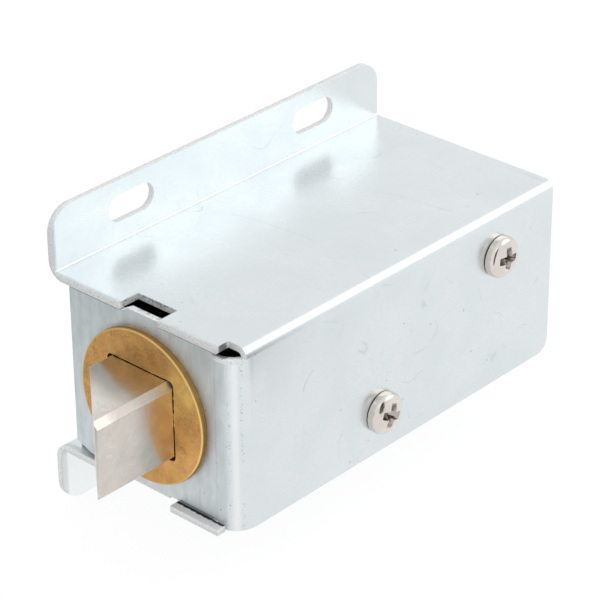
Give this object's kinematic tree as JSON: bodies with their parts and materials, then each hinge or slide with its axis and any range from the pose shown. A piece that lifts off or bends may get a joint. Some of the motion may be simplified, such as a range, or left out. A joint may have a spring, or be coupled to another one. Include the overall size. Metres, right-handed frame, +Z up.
{
  "type": "electric cabinet lock",
  "caption": "Solenoid cabinet lock: folded steel case with slotted flanges, turnable brass guide and spring-loaded slant-nosed bolt that the coil pulls in.",
  "frame": {"origin": "middle of the four mounting slots, on the mounting face of the flanges", "axes": "+X the way the latch bolt sticks out, +Y from the mounting face into the body, +Z up, towards the flange that the slant nose doesn't touch"},
  "size_m": [0.066, 0.0295, 0.0374],
  "materials": {
    "zinc_plate": "bright zinc-plated steel sheet, satin",
    "steel": "bare machined steel",
    "bolt_steel": "cast and tumbled, satin",
    "nickel": "nickel plate, glossy",
    "brass": "brushed brass",
    "copper_wire": "enamelled copper wire",
    "nylon": "moulded nylon",
    "coil_tape": "polyester tape",
    "rubber": "black rubber"
  },
  "bodies": {
    "housing": {"outer_cover": "zinc_plate", "base_frame": "zinc_plate", "back_plate": "zinc_plate", "solenoid_yoke": "steel", "coil_bobbin": "nylon", "coil_winding": "copper_wire", "coil_tape": "coil_tape", "coil_terminals": "steel", "guide_tube": "brass", "fixed_core": "steel", "core_lock_washer": "nickel", "core_nut": "nickel", "core_cushion": "rubber", "return_spring": "steel", "bumper_washer": "rubber", "guide_ring": "brass", "ring_washer": "brass", "ring_clip": "steel", "upper_screw": "nickel", "lower_screw": "nickel", "wire_grommet": "rubber"},
    "bolt": {"latch_bolt": "bolt_steel", "plunger": "steel", "bolt_pin": "steel", "stop_washer": "steel"}
  },
  "joints": [
    {"name": "bolt_slide", "type": "slide", "parent": "housing", "child": "bolt", "axis": [1, 0, 0], "range_m": [-0.01, 0], "stiffness_N_per_m": 255, "springref_m": 0.005, "deforming": ["return_spring"]}
  ]
}
